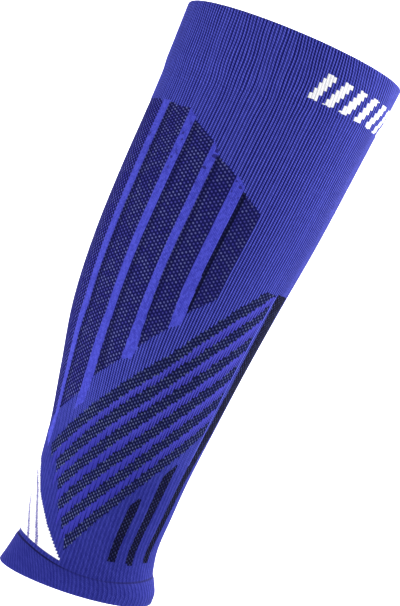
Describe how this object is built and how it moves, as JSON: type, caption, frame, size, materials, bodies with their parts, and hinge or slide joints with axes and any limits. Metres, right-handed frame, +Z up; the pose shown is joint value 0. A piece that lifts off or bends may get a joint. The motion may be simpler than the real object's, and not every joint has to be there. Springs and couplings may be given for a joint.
{
  "type": "calf compression sleeve",
  "caption": "Knitted tube worn tight round the lower leg, ribbed, with mesh bars up the calf, slanted mesh bands down to the heel and a pale shield over the heel cord.",
  "frame": {"origin": "centre of the ankle opening, on the leg's axis", "axes": "+Z up the leg from the ankle to the knee, +X towards the shin, +Y towards the leg's left"},
  "size_m": [0.1261, 0.1012, 0.3235],
  "materials": {
    "rib_knit": "matte ribbed knit, blue",
    "cuff_knit": "matte turned knit, blue",
    "mesh_knit": "matte open mesh knit, dark navy",
    "shield_knit": "matte plain knit, white"
  },
  "bodies": {
    "root": {"top_cuff": "cuff_knit", "calf_tube": "rib_knit", "ankle_cuff": "cuff_knit", "back_mesh_bar": "mesh_knit", "heel_shield": "shield_knit", "second_mesh_bar_right": "mesh_knit", "second_mesh_bar_left": "mesh_knit", "third_mesh_bar_right": "mesh_knit", "third_mesh_bar_left": "mesh_knit", "fourth_mesh_bar_right": "mesh_knit", "fourth_mesh_bar_left": "mesh_knit", "fifth_mesh_bar_right": "mesh_knit", "fifth_mesh_bar_left": "mesh_knit", "slanted_band_1_right": "mesh_knit", "slanted_band_1_left": "mesh_knit", "slanted_band_2_right": "mesh_knit", "slanted_band_2_left": "mesh_knit", "slanted_band_3_right": "mesh_knit", "slanted_band_3_left": "mesh_knit", "slanted_band_4_right": "mesh_knit", "slanted_band_4_left": "mesh_knit", "slanted_band_5_right": "mesh_knit", "slanted_band_5_left": "mesh_knit", "slanted_band_6_right": "mesh_knit", "slanted_band_6_left": "mesh_knit", "long_shin_bar_right": "mesh_knit", "long_shin_bar_left": "mesh_knit", "middle_shin_bar_right": "mesh_knit", "middle_shin_bar_left": "mesh_knit", "short_shin_bar_right": "mesh_knit", "short_shin_bar_left": "mesh_knit"}
  },
  "joints": []
}
